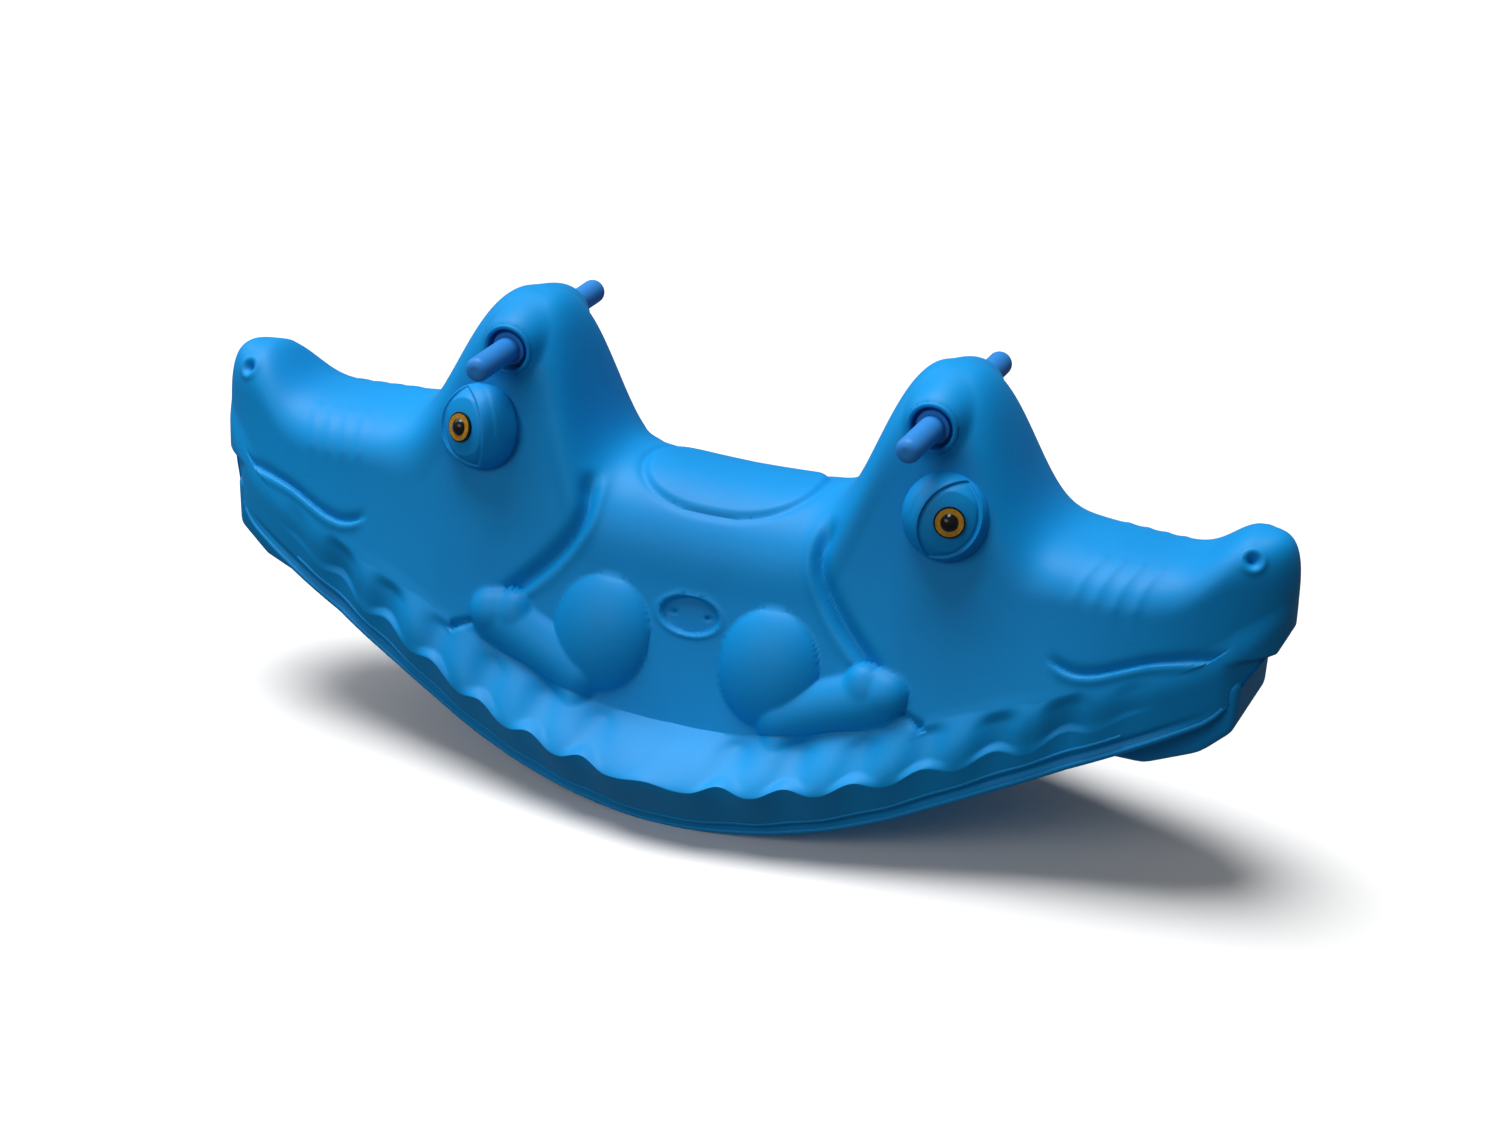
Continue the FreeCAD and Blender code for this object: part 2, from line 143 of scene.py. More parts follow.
def cuspShare(a):
    # 1 at the cusps between the skirt's lobes and 0 in the middle of a lobe
    turn = 2.0 * math.pi * (a - skirt["middleLobe"]) / skirt["lobeWidth"]
    outer = (0.5 + 0.5 * np.cos(turn)) ** skirt["lobePower"]
    t = a / skirt["middleLobe"]
    inner = smooth((t - skirt["middleFlat"]) / skirt["middleRun"]) ** skirt["middlePower"]
    inner = inner + skirt["middleDip"] * (1.0 - smooth(t / skirt["middleDipRun"]))
    return np.where(a < skirt["middleLobe"], inner, outer)


print("form ready")

# Rows round one half of a section, from the floor's middle over the crest
rows = {
    "floor": 6, "band": 26, "shelf": 30, "flank": 84, "dome": 46, "bandPower": 0.85, "shelfPower": 1.3,
}
# Sections along the body, and where they crowd together: a place, a spread and the extra density
stations = {
    "count": 500, "samples": 6000, "tipGap": 0.6, "legs": (150.0, 50.0, 0.35),
    "mouths": (400.0, 60.0, 0.25), "noses": (495.0, 50.0, 2.6), "tips": (540.0, 9.0, 2.5),
}


def stationPlaces():
    a = np.linspace(0.0, body["halfLength"] - stations["tipGap"], stations["samples"])
    density = np.ones_like(a)
    for place, spread, extra in (stations["legs"], stations["mouths"]):
        density += extra * bell(a - place, spread)
    for place, spread, extra in (stations["noses"], stations["tips"]):
        density += extra * smooth((a - place) / spread)
    total = np.concatenate([[0.0], np.cumsum((density[1:] + density[:-1]) / 2)])
    half = np.interp(np.linspace(0.0, total[-1], stations["count"] // 2 + 1), total, a)
    return np.concatenate([-half[::-1], half[1:]])


def bodyGrid(x):
    # the plain body with its skirt: arrays of half width and height, stations by rows
    a = np.abs(x)[:, None]
    low, high = underside(a), crest(a)
    tall = high - low
    rise = headRise(a)
    domeDepth = blendTo(body["dome"], body["snoutDome"], (a - body["snoutDomeStart"]) / body["snoutDomeRun"])
    domeDepth = np.minimum(domeDepth + body["domeExtra"] * rise * (1.0 - rise), tall / 2)
    fade = 1.0 - smooth((a - skirt["fadeStart"]) / (skirt["fadeEnd"] - skirt["fadeStart"]))
    cusp = cuspShare(a)
    share = skirtShare(a)
    ridgeRise = skirt["endRise"] + (skirt["rise"] - skirt["endRise"]) * share
    ridge = low + np.minimum(ridgeRise, tall / body["lowest"]) + skirt["wave"] * (2.0 * cusp - 1.0) * fade
    shelfRise = skirt["shelf"] + skirt["shelfEnd"] * smooth(a / skirt["shelfRun"])
    shelfRise = shelfRise + skirt["pillow"] * (1.0 - cusp) * fade
    shelf = ridge + np.minimum(shelfRise, tall / skirt["shelfLowest"])
    under = high - domeDepth

    def ramp(n, power=1.0):
        return (np.arange(1, n + 1) / n)[None, :] ** power

    bandT = ramp(rows["band"], rows["bandPower"])
    shelfT = ramp(rows["shelf"], rows["shelfPower"])
    z = [np.repeat(low, rows["floor"] + 1, 1), low + (ridge - low) * bandT, ridge + (shelf - ridge) * shelfT]
    z.append(shelf + (under - shelf) * ramp(rows["flank"]))
    z = np.concatenate(z, 1)
    foot = low + np.minimum(body["footRise"], tall / body["lowest"])
    plain = blendTo(rim(a), flank(a, z), (z - foot) / np.minimum(body["flare"], tall / body["lowest"]))
    endLobe = skirt["endLobe"] * fade * (1.0 - cusp)
    endLobe = endLobe * smooth((a - skirt["endLobeStart"]) / skirt["endLobeRun"])
    amount = skirt["reach"] * share + endLobe
    below = np.clip((z - low) / (ridge - low), 0.0, 1.0)
    above = np.clip((z - ridge) / (shelf - ridge), 0.0, 1.0)
    plump = (1.0 - above ** skirt["lobeRound"]) * (1.0 - cusp) + (1.0 - above) ** skirt["cuspRound"] * cusp
    shelfStand = plump * fade + (1.0 - above) ** skirt["endRound"] * (1.0 - fade)
    stand = np.where(z <= ridge, below, shelfStand)
    valley = skirt["valley"] * cusp ** skirt["valleyPower"] * fade
    valley = valley * smooth(above / skirt["valleyTop"]) * smooth((1.0 - above) / skirt["valleyFoot"])
    y = plain + amount * stand - valley
    y[:, : rows["floor"]] = y[:, rows["floor"]][:, None] * (np.arange(rows["floor"]) / rows["floor"])[None, :]
    turn = ramp(rows["dome"]) * math.pi / 2
    wide = y[:, -1:]
    domeZ = under + domeDepth * np.sin(turn) ** (2.0 / body["domePower"])
    domeY = wide * np.maximum(np.cos(turn), 0.0) ** (2.0 / body["domePower"])
    # the dome starts at the side's own lean, so that no crease shows
    lean = (flank(a, under) - flank(a, under - 2.0)) / 2.0
    upDome = (domeZ - under) / domeDepth
    domeY = domeY + lean * domeDepth * upDome * (1.0 - upDome) ** 2
    domeY[:, -1] = 0.0
    y = np.concatenate([y, domeY], 1)
    return y, np.concatenate([z, domeZ], 1)


def normalsOf(p):
    # unit normals of a grid of points
    du = np.gradient(p, axis=0)
    dv = np.gradient(p, axis=1)
    n = np.cross(du, dv)
    return n / np.maximum(np.linalg.norm(n, axis=2, keepdims=True), 1e-9)


eye = {
    "place": 246.95, "height": 338.0, "proud": 24.5, "turn": 20.0, "lift": 12.0,
    "pod": 43.0, "depth": 34.0, "skin": 4.2, "sunk": 6.0, "margin": 900.0, "blend": 9.0,
    "clear": (237.0, 332.0), "clearRadius": 40.0, "clearFade": 6.0,
}
handle = {
    "height": 412.0, "span": 66.0, "recess": 20.0, "floor": 54.0, "under": 50.5,
    "bossDrop": 2.0, "bossRadius": 24.0, "bossSlope": 0.5, "bossCurve": 0.16, "bossBlend": 8.0,
    "bossReach": 60.0, "wellRadius": 20.8, "wellEdge": 2.6, "wellReach": 26.0,
}


def eyeFrame():
    # the right front eye's centre and its three directions: along, up and outwards
    turn, lift = math.radians(eye["turn"]), math.radians(eye["lift"])
    out = np.array([math.cos(lift) * math.sin(turn), -math.cos(lift) * math.cos(turn), math.sin(lift)])
    along = np.array([math.cos(turn), math.sin(turn), 0.0])
    up = np.cross(out, along)
    up = up if up[2] > 0 else -up
    plain = float(flank(np.array(eye["place"]), np.array(eye["height"])))
    centre = np.array([eye["place"], -(plain + eye["proud"]), eye["height"]])
    return centre, along, up, out


def addPods(a, y, z):
    # pushes the side wall out to the eye's round pod
    centre, _, _, out = eyeFrame()
    ball = centre - out * eye["depth"]
    reach = (eye["pod"] - eye["skin"]) ** 2 - (a - ball[0]) ** 2 - (z - ball[2]) ** 2
    pod = -ball[1] + np.sqrt(np.maximum(reach, 0.0))
    flat = -eye["sunk"] - out[0] * (a - centre[0]) - out[2] * (z - centre[2]) + out[1] * centre[1]
    pod = np.where(reach > 0, np.minimum(pod, flat / -out[1]), -1e3)
    return np.where(reach > -eye["margin"], softMax(pod, y, eye["blend"]), y)


def addBoss(a, y, z):
    # the handle's boss, and the well that the cup hides the wall of
    r = np.hypot(a - body["headPlace"], z - handle["height"])
    out = np.maximum(r - handle["bossRadius"], 0.0)
    boss = handle["span"] - handle["bossDrop"] - handle["bossSlope"] * out - handle["bossCurve"] * out ** 2
    raised = softMax(boss, y, handle["bossBlend"])
    raised = np.where(r < handle["bossReach"], raised, y)
    wall = np.clip((r - handle["wellRadius"]) / handle["wellEdge"], 0.0, 1.0)
    well = handle["under"] + (raised - handle["under"]) * wall
    return np.where(r < handle["wellReach"], np.minimum(well, raised), raised)


mouth = {
    "places": (345, 352, 362, 377, 395, 415, 440, 470, 510, 552),
    "heights": (230, 222, 217, 213.5, 216.5, 224, 233, 238, 241, 243),
    "start": 347.0, "startFade": 16.0, "reach": 40.0, "depth": 3.8, "width": 7.0, "edge": 1.3,
    "lip": 1.3, "lipDrop": 4.0, "lipWidth": 4.5,
    "jawStep": 6.0, "jawPlace": 500.0, "jawFade": 30.0, "jawEdge": 5.0, "jawFoot": 160.0, "jawFootFade": 20.0,
}
gill = {
    "heights": (178, 191, 214, 235, 257, 275, 298, 312),
    "places": (190, 177, 153, 136, 122.5, 117.5, 120.5, 129), "depth": 8.5, "inner": 5.5, "outer": 8.5,
    "top": 308.0, "topFade": 22.0, "foot": 176.0, "footFade": 12.0,
    "ridge": 1.6, "ridgePlace": 10.0, "ridgeWidth": 6.0,
}
mound = {"edge": 0.7, "power": 2.1, "toePower": 2.3, "legBlend": 1.5, "toeBlend": 5.0, "least": 0.5}
thigh = {"place": 86.0, "height": 165.0, "halfLength": 50.0, "halfHeight": 54.0, "out": 18.0}
foreleg = {"elbow": (104.0, 124.0), "paw": (196.0, 160.0), "radius": 26.5, "out": 15.0}
toes = ((180.0, 168.0, 20.0), (205.0, 163.0, 21.0))
crease = {"line": ((222.0, 150.0), (240.0, 143.0), (250.0, 128.0)), "depths": (4.5, 3.0), "width": 3.0}
plate = {
    "height": 197.0, "halfLength": 29.0, "halfHeight": 17.0, "depth": 4.2, "edge": 1.04, "steep": 8.0,
    "rim": 1.0, "rimPlace": 1.14, "rimSpread": 20.0, "rimWidth": 2.0,
    "holes": 17.5, "holeDepth": 4.0, "holeWidth": 1.9,
}
pad = {
    "halfLength": 89.0, "halfWidth": 66.0, "power": 2.6, "scale": 72.0, "rise": 2.4, "edge": 6.0,
    "groove": 1.8, "groovePlace": 0.8, "grooveWidth": 3.2, "least": 240.0, "end": 140.0,
}
snoutFolds = {
    "places": (432.0, 414.0, 396.0, 378.0), "rise": 0.8, "width": 4.2,
    "near": 42.0, "far": 80.0, "lean": 12.0, "least": 250.0,
}
nostril = {
    "place": 513.7, "side": 37.0, "least": 300.0, "radius": 4.8, "depth": 8.0,
    "rim": 1.5, "rimPlace": 10.0, "rimWidth": 3.5,
}
bead = {"groove": 11.5, "depth": 3.0, "width": 3.6, "end": 505.0, "fade": 60.0}
relief = {
    "firstRow": 6, "middle": 4.0, "middleFade": 12.0, "least": 200.0, "fade": 30.0,
    "lean": 0.1, "leanFade": 0.3,
}


curve = {"margin": 60.0, "step": 1.0, "window": 24, "spread": 9.0}


def curveThrough(at, places, values):
    # a smooth curve through a few points, and its slope
    dense = np.arange(min(places) - curve["margin"], max(places) + curve["margin"], curve["step"])
    line = np.interp(dense, places, values)
    kernel = bell(np.arange(-curve["window"], curve["window"] + 1.0), curve["spread"])
    line = np.convolve(np.pad(line, curve["window"], mode="edge"), kernel / kernel.sum(), mode="valid")
    return np.interp(at, dense, line), np.interp(at, dense, np.gradient(line))


def capsule(a, z, start, end):
    d = (end[0] - start[0], end[1] - start[1])
    t = np.clip(((a - start[0]) * d[0] + (z - start[1]) * d[1]) / (d[0] ** 2 + d[1] ** 2), 0.0, 1.0)
    return np.hypot(a - start[0] - t * d[0], z - start[1] - t * d[1])


def moundOf(share, out, power):
    return out * np.maximum(1.0 - np.minimum(share, 1.0) ** power, 0.0) ** mound["edge"]


def joined(a, b, radius):
    # softMax without the lift that it gives where both are level
    return softMax(a, b, radius) - radius / 4


def legRelief(a, z):
    # the thigh, with the foreleg and its toes across it
    egg = np.hypot((a - thigh["place"]) / thigh["halfLength"], (z - thigh["height"]) / thigh["halfHeight"])
    leg = moundOf(egg, thigh["out"], mound["power"])
    along = capsule(a, z, foreleg["elbow"], foreleg["paw"]) / foreleg["radius"]
    arm = moundOf(along, foreleg["out"], mound["power"])
    for place, height, radius in toes:
        toe = moundOf(np.hypot(a - place, z - height) / radius, foreleg["out"], mound["toePower"])
        arm = joined(arm, toe, mound["toeBlend"])
    return joined(leg, arm, mound["legBlend"])


def lipRelief(a, z):
    lineZ, _ = curveThrough(a, mouth["places"], mouth["heights"])
    v = z - lineZ
    start = smooth((a - mouth["start"]) / mouth["startFade"])
    above = -mouth["depth"] * bell(np.maximum(v, 0.0), mouth["width"])
    below = mouth["lip"] * bell(v + mouth["lipDrop"], mouth["lipWidth"])
    turn = smooth((v + mouth["edge"]) / (2 * mouth["edge"]))
    return (below + (above - below) * turn) * start * (np.abs(v) < mouth["reach"])


def gillRelief(a, z):
    # the groove behind the head, wider on its outer side
    lineA, slope = curveThrough(z, gill["heights"], gill["places"])
    d = (a - lineA) / np.sqrt(1.0 + slope ** 2)
    ends = smooth((gill["top"] - z) / gill["topFade"]) * smooth((z - gill["foot"]) / gill["footFade"])
    groove = -gill["depth"] * bell(d, np.where(d > 0, gill["outer"], gill["inner"])) * ends
    return groove + gill["ridge"] * bell(d + gill["ridgePlace"], gill["ridgeWidth"]) * ends


def creaseRelief(a, z):
    # the fold in the skin beside the toes
    line = crease["line"]
    depth = np.zeros_like(z)
    for start, end, deep in zip(line, line[1:], crease["depths"]):
        depth -= deep * bell(capsule(a, z, start, end), crease["width"])
    return depth


def plateRelief(a, z):
    # the oval seat for a name plate, with its two screw holes
    oval = np.hypot(a / plate["halfLength"], (z - plate["height"]) / plate["halfHeight"])
    seat = -plate["depth"] * smooth((plate["edge"] - oval) * plate["steep"])
    seat = seat + plate["rim"] * bell((oval - plate["rimPlace"]) * plate["rimSpread"], plate["rimWidth"])
    hole = np.hypot(a - plate["holes"], z - plate["height"])
    return seat, -plate["holeDepth"] * bell(hole, plate["holeWidth"])


def sideRelief(a, z):
    # what stands out of the side wall, square to it
    leg = legRelief(a, z)
    seat, holes = plateRelief(a, z)
    folds = np.where(leg > mound["least"], 0.0, 1.0) * (gillRelief(a, z) + creaseRelief(a, z))
    return leg + folds + lipRelief(a, z) + seat + holes


def topRelief(a, y, z):
    # the pad on the seat, and the folds on the snout
    power = pad["power"]
    reach = (np.abs(a / pad["halfLength"]) ** power + np.abs(y / pad["halfWidth"]) ** power) ** (1 / power)
    d = (reach - 1.0) * pad["scale"]
    groove = pad["groove"] * bell(d - pad["groovePlace"], pad["grooveWidth"])
    seat = pad["rise"] * smooth(-d / pad["edge"]) - groove
    seat = seat * (z > pad["least"]) * (a < pad["end"])
    folds = 0.0
    for place in snoutFolds["places"]:
        near = (place, snoutFolds["near"])
        far = (place - snoutFolds["lean"], snoutFolds["far"])
        folds = folds + bell(capsule(a, y, near, far), snoutFolds["width"])
    return seat + snoutFolds["rise"] * folds * (z > snoutFolds["least"])


def rimRelief(a, y, z, low):
    # the groove between the two beads of the bottom edge
    along = np.hypot(z - low, y - rim(a))
    fade = smooth((bead["end"] - a) / bead["fade"])
    return -bead["depth"] * bell(along - bead["groove"], bead["width"]) * fade


def frontHalf():
    # the front side of the moulding as an array of points
    x = stationPlaces()
    y, z = bodyGrid(x)
    a = np.abs(x)[:, None] * np.ones_like(z)
    low = underside(a)
    flankStart = rows["floor"] + 1 + rows["band"]
    y = addPods(a, y, z)
    y = addBoss(a, y, z)
    p = np.stack([np.sign(x)[:, None] * a, -y, z], 2)
    n = normalsOf(p)
    share = np.zeros(z.shape)
    share[:, flankStart + rows["shelf"] - relief["firstRow"]:] = 1.0
    onSide = smooth((y - relief["middle"]) / relief["middleFade"])
    fromEye = np.hypot(a - eye["clear"][0], z - eye["clear"][1])
    offEye = smooth((fromEye - eye["clearRadius"]) / eye["clearFade"])
    h = sideRelief(a, z) * share * onSide * offEye
    facing = smooth((n[..., 2] - relief["lean"]) / relief["leanFade"])
    h += topRelief(a, y, z) * smooth((z - relief["least"]) / relief["fade"]) * facing
    away = np.hypot(a - nostril["place"], y - nostril["side"]) + 1e3 * (z < nostril["least"])
    level = z.flat[np.argmin(away)]
    dimple = np.sqrt((a - nostril["place"]) ** 2 + (y - nostril["side"]) ** 2 + (z - level) ** 2)
    nostrilRim = nostril["rim"] * bell(dimple - nostril["rimPlace"], nostril["rimWidth"])
    h += -nostril["depth"] * bell(dimple, nostril["radius"]) + nostrilRim
    lineZ, _ = curveThrough(a, mouth["places"], mouth["heights"])
    jaw = smooth((a - mouth["jawPlace"]) / mouth["jawFade"]) * smooth((lineZ - z) / mouth["jawEdge"])
    jaw = jaw * smooth((z - mouth["jawFoot"]) / mouth["jawFootFade"])
    h -= mouth["jawStep"] * jaw
    band = np.zeros(z.shape)
    band[:, rows["floor"]: flankStart] = 1.0
    h += rimRelief(a, y, z, low) * band
    p = p + h[..., None] * n
    p[:, 0, 1] = 0.0
    p[:, -1, 1] = 0.0
    p[..., 1] = np.minimum(p[..., 1], 0.0)
    limit = body["halfLength"] - stations["tipGap"]
    p[..., 0] = np.clip(p[..., 0], -limit, limit)
    p[..., 2] = np.clip(p[..., 2], 0.0, body["head"] - 0.2)
    return p


def gridMesh(name, p, flip):
    # a closed half: the grid, a strip along its flat side and a point at each end
    stations, count = p.shape[:2]
    verts = p.reshape(-1, 3)
    ends = [p[0].mean(0), p[-1].mean(0)]
    for end in ends:
        end[1] = 0.0 if abs(end[1]) < 2.0 else end[1]
    verts = np.concatenate([verts, np.array(ends)]) * mm
    i = np.arange(stations - 1)[:, None] * count
    j = np.arange(count)[None, :]
    k = (j + 1) % count
    quads = np.stack([i + j, i + k, i + count + k, i + count + j], 2).reshape(-1, 4)
    faces = quads.tolist()
    last = stations * count
    for c in range(count):
        d = (c + 1) % count
        faces.append([last, d, c])
        faces.append([last + 1, (stations - 1) * count + c, (stations - 1) * count + d])
    if flip:
        verts = verts * np.array([1.0, -1.0, 1.0])
    mesh = bpy.data.meshes.new(name)
    mesh.from_pydata(verts.tolist(), [], faces)
    mesh.update()
    return mesh


# The angle, in degrees, past which an edge stays sharp
sharpFrom = {"body": 35.0, "detail": 60.0, "carried": 32.0}


def linkPiece(name, mesh, material, sharp):
    # every new piece is a part of the moulded body
    work = bmesh.new()
    work.from_mesh(mesh)
    bmesh.ops.recalc_face_normals(work, faces=work.faces[:])
    work.to_mesh(mesh)
    work.free()
    mesh.shade_smooth()
    mesh.set_sharp_from_angle(angle=math.radians(sharp))
    mesh.materials.clear()
    mesh.materials.append(material)
    piece = bpy.data.objects.new(name, mesh)
    bpy.context.scene.collection.objects.link(piece)
    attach(piece, "body")
    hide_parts("body_shell")


# Materials: moulded polyethylene, grip plastic, steel, and the eyes' finishes
def newMaterial(name):
    material = bpy.data.materials.new(name)
    material.use_nodes = True
    tree = material.node_tree
    shader = tree.nodes["Principled BSDF"]
    where = tree.nodes.new("ShaderNodeTexCoord")
    return material, tree, shader, where


def addNoise(tree, where, scale, detail=4.0, rough=0.5, stretch=None):
    noise = tree.nodes.new("ShaderNodeTexNoise")
    noise.inputs["Scale"].default_value = scale
    noise.inputs["Detail"].default_value = detail
    noise.inputs["Roughness"].default_value = rough
    source = where.outputs["Object"]
    if stretch:
        mapping = tree.nodes.new("ShaderNodeMapping")
        mapping.inputs["Scale"].default_value = stretch
        tree.links.new(source, mapping.inputs["Vector"])
        source = mapping.outputs["Vector"]
    tree.links.new(source, noise.inputs["Vector"])
    return noise.outputs["Fac"]


def addRamp(tree, value, stops):
    ramp = tree.nodes.new("ShaderNodeValToRGB")
    ramp.color_ramp.elements[0].position = stops[0][0]
    ramp.color_ramp.elements[0].color = stops[0][1]
    ramp.color_ramp.elements[1].position = stops[-1][0]
    ramp.color_ramp.elements[1].color = stops[-1][1]
    for place, colour in stops[1:-1]:
        stop = ramp.color_ramp.elements.new(place)
        stop.color = colour
    tree.links.new(value, ramp.inputs["Fac"])
    return ramp.outputs["Color"]


def addRange(tree, value, low, high):
    span = tree.nodes.new("ShaderNodeMapRange")
    span.inputs["To Min"].default_value = low
    span.inputs["To Max"].default_value = high
    tree.links.new(value, span.inputs["Value"])
    return span.outputs["Result"]


def addBump(tree, shader, value, strength, distance, under=None):
    bump = tree.nodes.new("ShaderNodeBump")
    bump.inputs["Strength"].default_value = strength
    bump.inputs["Distance"].default_value = distance
    tree.links.new(value, bump.inputs["Height"])
    if under:
        tree.links.new(under, bump.inputs["Normal"])
    tree.links.new(bump.outputs["Normal"], shader.inputs["Normal"])
    return bump.outputs["Normal"]


def mixColours(tree, share, first, second):
    mix = tree.nodes.new("ShaderNodeMix")
    mix.data_type = "RGBA"
    tree.links.new(share, mix.inputs["Factor"])
    tree.links.new(first, mix.inputs[6])
    tree.links.new(second, mix.inputs[7])
    return mix.outputs[2]


plastic = {
    "drift": 5.0, "speck": 260.0, "speckShare": 0.16, "scuff": 34.0, "scuffStretch": (1.0, 1.0, 5.0),
    "scuffTone": 0.22, "chalk": 1.3, "wear": 22.0, "specular": 0.2,
    "coarse": 9.0, "coarseStrength": 0.05, "coarseDepth": 0.001, "fineStrength": 0.09, "fineDepth": 0.0004,
}


def mouldedPlastic(name, deep, mid, pale, roughLow, roughHigh, grain):
    # a satin moulding: slow drifts of colour, a fine pebble grain, and scuffs from use
    material, tree, shader, where = newMaterial(name)
    drift = addNoise(tree, where, plastic["drift"], 3.0, 0.55)
    base = addRamp(tree, drift, [(0.3, deep), (0.5, mid), (0.72, pale)])
    speck = addNoise(tree, where, plastic["speck"], 2.0, 0.6)
    lighter = addRamp(tree, speck, [(0.42, mid), (0.7, pale)])
    fleck = addRange(tree, speck, 0.0, plastic["speckShare"])
    colour = mixColours(tree, fleck, base, lighter)
    scuff = addNoise(tree, where, plastic["scuff"], 6.0, 0.75, plastic["scuffStretch"])
    tone = plastic["scuffTone"]
    mark = addRamp(tree, scuff, [(0.62, (0.0, 0.0, 0.0, 1.0)), (0.8, (tone, tone, tone, 1.0))])
    chalky = tuple(min(1.0, part * plastic["chalk"]) for part in pale[:3]) + (1.0,)
    chalk = addRamp(tree, drift, [(0.0, pale), (1.0, chalky)])
    colour = mixColours(tree, mark, colour, chalk)
    tree.links.new(colour, shader.inputs["Base Color"])
    wear = addNoise(tree, where, plastic["wear"], 5.0, 0.6)
    tree.links.new(addRange(tree, wear, roughLow, roughHigh), shader.inputs["Roughness"])
    shader.inputs["Specular IOR Level"].default_value = plastic["specular"]
    pebble = addNoise(tree, where, grain, 3.0, 0.5)
    coarse = addNoise(tree, where, grain / plastic["coarse"], 2.0, 0.5)
    normal = addBump(tree, shader, coarse, plastic["coarseStrength"], plastic["coarseDepth"])
    addBump(tree, shader, pebble, plastic["fineStrength"], plastic["fineDepth"], normal)
    return material


bluePlastic = mouldedPlastic(
    "bluePlastic", (0.001, 0.235, 0.6, 1.0), (0.001, 0.262, 0.66, 1.0), (0.002, 0.292, 0.71, 1.0),
    0.44, 0.58, 900.0)
gripPlastic = mouldedPlastic(
    "gripPlastic", (0.02, 0.2, 0.58, 1.0), (0.028, 0.225, 0.64, 1.0), (0.036, 0.25, 0.7, 1.0),
    0.36, 0.5, 1200.0)
bushPlastic = mouldedPlastic(
    "bushPlastic", (0.008, 0.17, 0.5, 1.0), (0.01, 0.19, 0.55, 1.0), (0.015, 0.22, 0.6, 1.0),
    0.4, 0.55, 1200.0)


def brushedSteel():
    material, tree, shader, where = newMaterial("brushedSteel")
    streak = addNoise(tree, where, 160.0, 4.0, 0.6, (1.0, 0.05, 1.0))
    tone = addRamp(tree, streak, [(0.3, (0.42, 0.43, 0.44, 1.0)), (0.7, (0.62, 0.63, 0.64, 1.0))])
    tree.links.new(tone, shader.inputs["Base Color"])
    tree.links.new(addRange(tree, streak, 0.22, 0.42), shader.inputs["Roughness"])
    shader.inputs["Metallic"].default_value = 1.0
    addBump(tree, shader, streak, 0.05, 0.0003)
    return material


def eyeBlack():
    material, tree, shader, where = newMaterial("eyeBlack")
    haze = addNoise(tree, where, 120.0, 3.0, 0.5)
    tone = addRamp(tree, haze, [(0.3, (0.004, 0.004, 0.005, 1.0)), (0.7, (0.011, 0.011, 0.013, 1.0))])
    tree.links.new(tone, shader.inputs["Base Color"])
    tree.links.new(addRange(tree, haze, 0.14, 0.24), shader.inputs["Roughness"])
    shader.inputs["Specular IOR Level"].default_value = 0.35
    addBump(tree, shader, haze, 0.02, 0.0002)
    return material


def eyeAmber():
    # amber with fine flecks
    material, tree, shader, where = newMaterial("eyeAmber")
    fleck = addNoise(tree, where, 420.0, 4.0, 0.6)
    shades = [
        (0.25, (0.3, 0.13, 0.008, 1.0)), (0.5, (0.5, 0.24, 0.014, 1.0)), (0.78, (0.62, 0.36, 0.03, 1.0)),
    ]
    tree.links.new(addRamp(tree, fleck, shades), shader.inputs["Base Color"])
    tree.links.new(addRange(tree, fleck, 0.12, 0.24), shader.inputs["Roughness"])
    shader.inputs["Coat Weight"].default_value = 0.3
    shader.inputs["Coat Roughness"].default_value = 0.06
    addBump(tree, shader, fleck, 0.05, 0.0002)
    return material


steel = brushedSteel()
blackGloss = eyeBlack()
amberGloss = eyeAmber()
print("materials ready")

points = frontHalf()
for name, flip in (("body_front", False), ("body_rear", True)):
    linkPiece(name, gridMesh(name, points, flip), bluePlastic, sharpFrom["body"])
print("body halves ready", points.shape)


def lathed(outline, place, direction, segments):
    # turns a closed outline of (radius, along) round an axis; a radius of 0 becomes one point
    direction = Vector(direction).normalized()
    side = direction.orthogonal().normalized()
    other = direction.cross(side)
    work = bmesh.new()
    rings = []
    for radius, along in outline:
        centre = Vector(place) + direction * along
        if radius < 1e-6:
            rings.append([work.verts.new(centre * mm)])
            continue
        ring = []
        for k in range(segments):
            turn = 2.0 * math.pi * k / segments
            spoke = side * math.cos(turn) + other * math.sin(turn)
            ring.append(work.verts.new((centre + spoke * radius) * mm))
        rings.append(ring)
    for first, second in zip(rings, rings[1:] + rings[:1]):
        for k in range(segments):
            corners = [first[k % len(first)], first[(k + 1) % len(first)]]
            corners += [second[(k + 1) % len(second)], second[k % len(second)]]
            corners = list(dict.fromkeys(corners))
            if len(corners) > 2:
                work.faces.new(corners)
    mesh = bpy.data.meshes.new("lathed")
    work.to_mesh(mesh)
    work.free()
    return mesh


def arcPoints(centre, radius, start, end, count):
    turns = [math.radians(start + (end - start) * k / count) for k in range(count + 1)]
    return [(centre[0] + radius * math.cos(t), centre[1] + radius * math.sin(t)) for t in turns]


cup = {
    "hole": 12.3, "lipRound": 2.4, "lipTop": 66.6, "lipSteps": 12, "floorRound": 2.0, "floorSteps": 6,
    "backTop": 60.0, "backWall": 3.0, "segments": 96,
}


